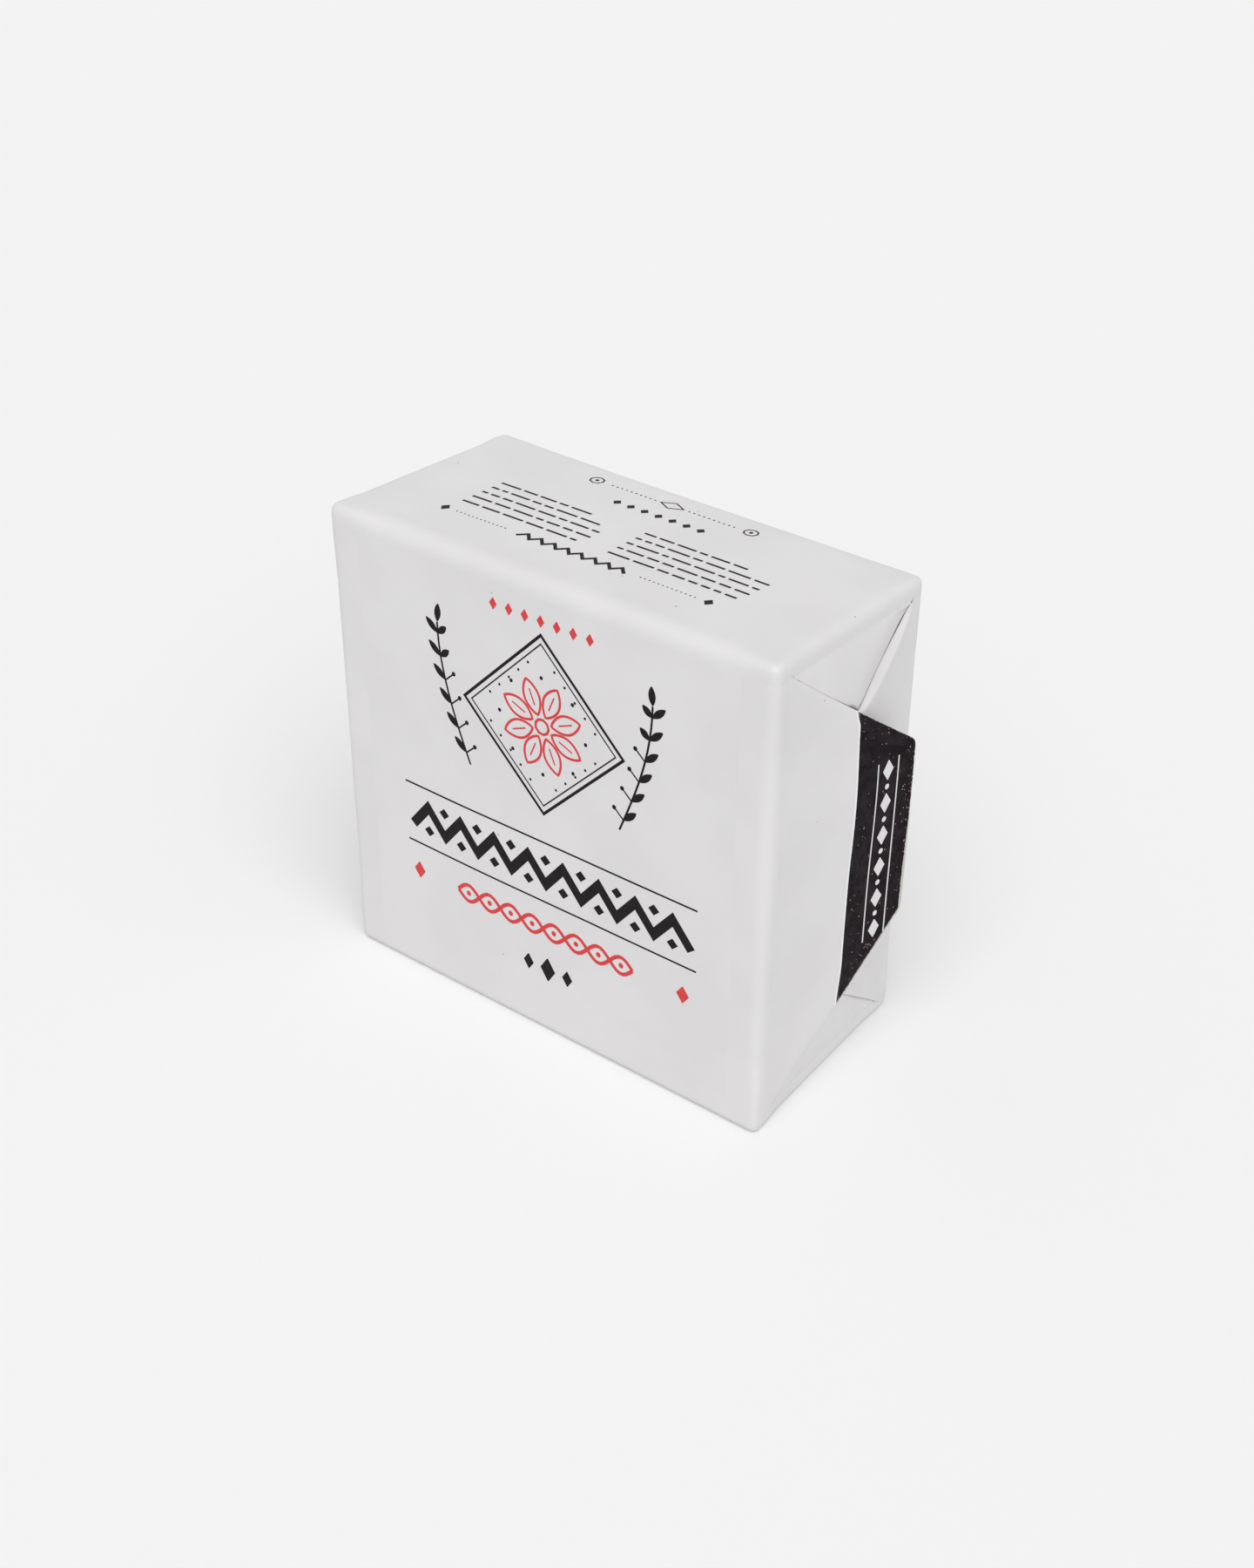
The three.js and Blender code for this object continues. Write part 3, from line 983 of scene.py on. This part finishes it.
def glue_strip():
    """Dried adhesive between the two layers of the lap, with an uneven outline."""
    low, high = (np.array(corner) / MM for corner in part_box("seam_glue"))
    columns, rows, clear = 96, 7, 0.002
    points, flat = [], []
    for x in np.linspace(low[0], high[0], columns):
        wander = [0.25 * (waves(x, 0, k, 3.0, 2.9 + k) + 0.6) for k in (1, 2)]
        for row in range(rows):
            z = mix(low[2] + wander[0], high[2] - wander[1], row / (rows - 1))
            base = HALF_DEPTH + upright_relief(x, HALF_DEPTH, z)
            for gap in (GLUE_THICKNESS - clear, clear):
                points.append((x, base + gap, z))
                flat.append((x, z, 0.0))
    return finish_mesh("glue_in_the_lap", points, slab_faces(columns, rows), [dried_glue()], flat)


# Print. The ink stands this far above the paper, and reaches this far into it.
INK_PROUD = 0.015
INK_SUNK = 0.045
WIDE = 0.45


class Print:
    """Closed thin shapes of ink that follow the paper, drawn on its own plane."""

    def __init__(self, surface):
        self.surface = surface
        self.points, self.flat, self.faces = [], [], []

    def patch(self, grid, loop=False):
        """A strip of ink, given as rows of places that are joined by quads."""
        self.faces += slab_faces(len(grid), len(grid[0]), len(self.points), loop)
        for row in grid:
            for u, v in row:
                place, out = self.surface(u, v)
                for level in (INK_PROUD, -INK_SUNK):
                    self.points.append(tuple(c + o * level for c, o in zip(place, out)))
                    self.flat.append((u, v, 0.0))

    def spindle(self, start, end, half_width, ends=0.0):
        """A shape along a straight line, as wide as half_width says at each share of it."""
        (u0, v0), (u1, v1) = start, end
        length = math.hypot(u1 - u0, v1 - v0)
        side = (-(v1 - v0) / length, (u1 - u0) / length)
        steps = max(2, math.ceil(length / 0.7), 8 if ends else 0)
        across = (-1, 0, 1) if half_width(0.5) > WIDE else (-1, 1)
        grid = []
        for step in range(steps + 1):
            share = mix(ends, 1 - ends, step / steps)
            u, v, w = mix(u0, u1, share), mix(v0, v1, share), half_width(share)
            grid.append([(u + side[0] * w * k, v + side[1] * w * k) for k in across])
        self.patch(grid)

    def bar(self, start, end, width):
        self.spindle(start, end, lambda share: width / 2)

    def diamond(self, u, v, across, up):
        self.spindle((u, v - up / 2), (u, v + up / 2), lambda t: across / 2 * (1 - abs(2 * t - 1)), 0.03)

    def dot(self, u, v, radius):
        self.spindle((u - radius, v), (u + radius, v), lambda t: radius * math.sqrt(1 - (2 * t - 1) ** 2), 0.04)

    def leaf(self, start, end, width):
        self.spindle(start, end, lambda t: width / 2 * math.sin(math.pi * t) ** 0.8, 0.03)

    def stroke(self, path, width, loop=False):
        """A line of ink along a path."""
        fine = []
        for (u0, v0), (u1, v1) in zip(path, path[1:] + path[:1] if loop else path[1:]):
            steps = max(1, math.ceil(math.hypot(u1 - u0, v1 - v0) / 0.8))
            fine += [(mix(u0, u1, k / steps), mix(v0, v1, k / steps)) for k in range(steps)]
        if not loop:
            fine.append(path[-1])
        grid = []
        for n, (u, v) in enumerate(fine):
            before = fine[n - 1] if n > 0 or loop else (u, v)
            after = fine[(n + 1) % len(fine)] if n < len(fine) - 1 or loop else (u, v)
            a, b = np.array((u - before[0], v - before[1])), np.array((after[0] - u, after[1] - v))
            a = a / np.linalg.norm(a) if a.any() else b / np.linalg.norm(b)
            b = b / np.linalg.norm(b) if b.any() else a
            way = (a + b) / np.linalg.norm(a + b)
            reach = width / 2 / max(0.45, float(way @ a))
            grid.append([(u - way[1] * reach * k, v + way[0] * reach * k) for k in (-1, 1)])
        self.patch(grid, loop)

    def ring(self, u, v, radius, width):
        count = max(6, math.ceil(radius * math.radians(360) / 0.6))
        self.stroke([around((u, v), 360 * (n / count), radius) for n in range(count)], width, True)

    def finish(self, name, body, ink_material):
        piece = finish_mesh(name, self.points, self.faces, [ink_material], self.flat)
        solid = bmesh.new()
        solid.from_mesh(piece.data)
        bmesh.ops.recalc_face_normals(solid, faces=solid.faces)
        for face in solid.faces:
            face.smooth = False
        solid.to_mesh(piece.data)
        solid.free()
        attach(piece, body)


def around(middle, angle, radius):
    """The place that lies at a radius and an angle in degrees from another one."""
    turn = math.radians(angle)
    return middle[0] + radius * math.cos(turn), middle[1] + radius * math.sin(turn)


def front_surface(x, z):
    return (x, -HALF_DEPTH - upright_relief(x, -HALF_DEPTH, z), z), (0, -1, 0)


def top_surface(x, y):
    return (x, y, HEIGHT + relief(x, y, HEIGHT, swelling(y, HALF_DEPTH))), (0, 0, 1)


def band_surface(side):
    return lambda s, z: (OUTER.place(side, OUTER.level(side, s, z), s, z), (side, 0, 0))


def emblem(black, red, u, v):
    """A lozenge frame with a rosette in it."""
    middle = (u, v)
    for reach, width in ((9.6, 0.3), (8.7, 0.14)):
        black.stroke([(u - reach, v), (u, v - reach), (u + reach, v), (u, v + reach)], width, True)
    turns = [around((0, 0), 90 * k, 1) for k in range(5)]
    for a, b in zip(turns, turns[1:]):
        for share in (0.2, 0.35, 0.5, 0.65, 0.8):
            black.dot(u + mix(a[0], b[0], share) * 7.9, v + mix(a[1], b[1], share) * 7.9, 0.14)
    for k in range(8):
        angle = 45 * k + 22.5
        out_u, out_v = around((0, 0), angle, 1)
        petal = []
        for n, way in [(n, 1) for n in range(25)] + [(n, -1) for n in range(23, 0, -1)]:
            reach, half = mix(1.25, 4.9, n / 24), way * 0.95 * math.sin(math.pi * (n / 24)) ** 0.75
            petal.append((u + out_u * reach - out_v * half, v + out_v * reach + out_u * half))
        red.stroke(petal, 0.26, True)
        red.bar(around(middle, angle, 2.2), around(middle, angle, 3.9), 0.16)
        black.dot(*around(middle, 45 * k, 5.2), 0.2)
    red.ring(u, v, 0.8, 0.28)


def sprig(black, side, u, v):
    """A stem with leaves, and with berries on its lower outer side."""
    stem = [(u + side * (9.2 + 3.6 * math.sin(math.pi * (n / 12) * 0.5)), v - 7.6 + 14.4 * (n / 12)) for n in range(13)]
    black.stroke(stem, 0.22)
    for n in range(1, 12, 2):
        foot = stem[n]
        for way, length in ((1, 2.0), (-1, 1.5)):
            tip = around(foot, 90 - side * way * 48, length)
            if n > 8 or way > 0:
                black.leaf(foot, tip, 0.75)
            else:
                black.stroke([foot, ((foot[0] + tip[0]) / 2, (foot[1] + tip[1]) / 2), tip], 0.16)
                black.dot(tip[0], tip[1], 0.24)
    black.leaf(stem[-1], (stem[-1][0] - side * 0.2, stem[-1][1] + 2.0), 0.8)


def running_border(black):
    """A bold zigzag with diamonds in its bays, between two rules."""
    low, high, count = 17.7, 21.9, 16
    places = [mix(-17.1, 18.1, n / count) for n in range(count + 1)]
    black.stroke([(place, high - 0.75 if n % 2 else low + 0.75) for n, place in enumerate(places)], 1.05)
    for n in range(1, count):
        black.diamond(places[n], low + 0.62 if n % 2 else high - 0.62, 1.3, 1.25)
    for level in (low - 1.4, high + 1.4):
        black.bar((-17.9, level), (18.7, level), 0.2)


def chain(red, level):
    """Two waves that cross, with a dot in each link and a diamond beyond each end."""
    first, link = -11.2, 2.8
    for turn in (0.0, math.pi):
        wave = [(first + 0.4 * n, level + 1.0 * math.sin(turn + n * 0.4 * math.pi / link)) for n in range(57)]
        red.stroke(wave, 0.42)
    for k in range(8):
        red.dot(first + link * (k + 0.5), level, 0.3)
    for place in (-16.6, 17.2):
        red.diamond(place, level, 1.5, 2.1)


def front_print():
    black, red = Print(front_surface), Print(front_surface)
    u, v = 0.4, 36.2
    emblem(black, red, u, v)
    for side in (1, -1):
        sprig(black, side, u, v)
    for k in range(-3, 4):
        red.diamond(u + 1.9 * k, 47.2, 0.9, 1.3)
    running_border(black)
    chain(red, 12.9)
    for k in (-1, 0, 1):
        black.diamond(0.5 + 2.5 * k, 8.0, 1.3 if k else 1.9, 2.0 if k else 3.0)
    black.finish("front_black_print", "package", black_ink)
    red.finish("front_red_print", "package", red_ink)


def top_print():
    """Broken lines in two blocks, and ornaments along the front and back edges."""
    black = Print(top_surface)
    draw = random.Random(5)
    front, back = -6.3, 9.2
    black.stroke([(-7.6 + 0.8 * n, front + (0.45 if n % 2 else -0.45)) for n in range(17)], 0.36)
    for first, last in ((-15.4, -9.3), (6.8, 12.9)):
        for n in range(13):
            black.dot(mix(first, last, n / 12), front, 0.09)
    for place in (-16.9, 14.4):
        black.diamond(place, front, 1.0, 1.3)
    for first, last in ((-16.8, -1.4), (1.2, 17.2)):
        for row in range(5):
            level, at = -3.9 + 1.45 * row, first
            stop = last - (draw.uniform(3.0, 6.0) if row == 4 else draw.uniform(0.0, 1.2))
            while at < stop - 0.6:
                length = min(draw.uniform(0.7, 2.6), stop - at)
                black.bar((at, level), (at + length, level), 0.3)
                at += length + 0.42
    for n in range(7):
        black.diamond(-5.4 + 1.7 * n, 6.1, 0.95, 1.15)
    for n in (*range(4, 14), *range(20, 30)):
        black.dot(mix(-10.8, 9.0, n / 33), back, 0.11)
    for place in (-10.4, 8.6):
        black.ring(place, back, 0.75, 0.16)
        black.dot(place, back, 0.22)
    black.stroke([(-2.3, back), (-0.9, 8.4), (0.5, back), (-0.9, 10.0)], 0.16, True)
    black.finish("top_black_print", "package", black_ink)


def band_print(side):
    """Diamonds and dots between two lines, on the black tip of an outer flap."""
    white = Print(band_surface(side))
    for k in range(6):
        level = 16.2 + 3.7 * k
        white.diamond(16.9, level, 1.5, 2.3)
        if k < 5:
            white.dot(16.9, level + 1.85, 0.3)
    for across in (15.45, 18.35):
        white.bar((across, 15.1), (across, 35.8), 0.16)
    white.finish(f"{END_WORDS[side]}_band_white_print", f"{END_WORDS[side]}_outer", white_mark)


# Pieces
front_print()
top_print()
band_print(1)
band_print(-1)
block = chalk_body()
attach(block, "package")
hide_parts("chalk_block")
glue = glue_strip()
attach(glue, "package")
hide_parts("seam_glue")
sleeve = wrapper_sleeve()
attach(sleeve, "package")
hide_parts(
    "front_panel", "top_panel", "bottom_panel", "lower_back_panel", "upper_back_panel",
    "right_upper_tuck", "right_lower_tuck", "left_upper_tuck", "left_lower_tuck",
)
for side in (1, -1):
    for flap in (INNER, OUTER):
        flap_piece(side, flap)

# Camera, solved from the photo: its lens, its angles round and over the part and its lean, and its place
LENS = 45.82
CAMERA_TURNS = ((36.96, "Z"), (90 - 31.94, "X"), (0.92, "Z"))
CAMERA_PLACE = (104.51, -137.85, 131.51)
camera_data = bpy.data.cameras.new("camera")
camera_data.sensor_fit = "VERTICAL"
camera_data.sensor_height = 36.0
camera_data.lens = LENS
camera_data.clip_start = 0.01
camera = add_object("camera", camera_data)
camera.matrix_world = Matrix.Translation(Vector(CAMERA_PLACE) * MM)
for angle, axis in CAMERA_TURNS:
    camera.matrix_world @= Matrix.Rotation(math.radians(angle), 4, axis)
bpy.context.scene.camera = camera

# Floor
FLOOR_COLOR = (0.865, 0.865, 0.865)
FLOOR_REACH = 3
floor_mesh = bpy.data.meshes.new("floor")
floor_corners = [(x * FLOOR_REACH, y * FLOOR_REACH, 0) for x, y in ((-1, -1), (1, -1), (1, 1), (-1, 1))]
floor_mesh.from_pydata(floor_corners, [], [(0, 1, 2, 3)])
floor_mesh.materials.append(material("pale_floor", FLOOR_COLOR, 0.9, 0.1)[0])
floor = add_object("floor", floor_mesh)

# Light. The sky lights the part less brightly than it shows behind it.
SKY_LIGHT = 0.572
SKY_SEEN = 0.9
KEY_TOWARD = (0.374, -0.472, 0.798)
KEY_STRENGTH = 1.82
KEY_SPREAD = 60
world = bpy.data.worlds.new("studio")
bpy.context.scene.world = world
sky = Nodes(world)
rays = sky.add("LightPath", {}).outputs
seen = sky.math("MAXIMUM", rays["Is Camera Ray"], rays["Is Glossy Ray"])
seen = sky.math("MAXIMUM", seen, rays["Is Transmission Ray"])
strength = sky.ramp(seen, 0.0, 1.0, SKY_LIGHT, SKY_SEEN, "LINEAR")
sky.feed(sky.tree.nodes["Background"], {"Color": (1, 1, 1), "Strength": strength})

key = bpy.data.lights.new("key_light", "SUN")
key.energy = KEY_STRENGTH
key.angle = math.radians(KEY_SPREAD)
lamp = add_object("key_light", key)
lamp.rotation_mode = "QUATERNION"
lamp.rotation_quaternion = Vector(KEY_TOWARD).to_track_quat("Z", "Y")

bpy.context.scene.view_settings.view_transform = "Standard"
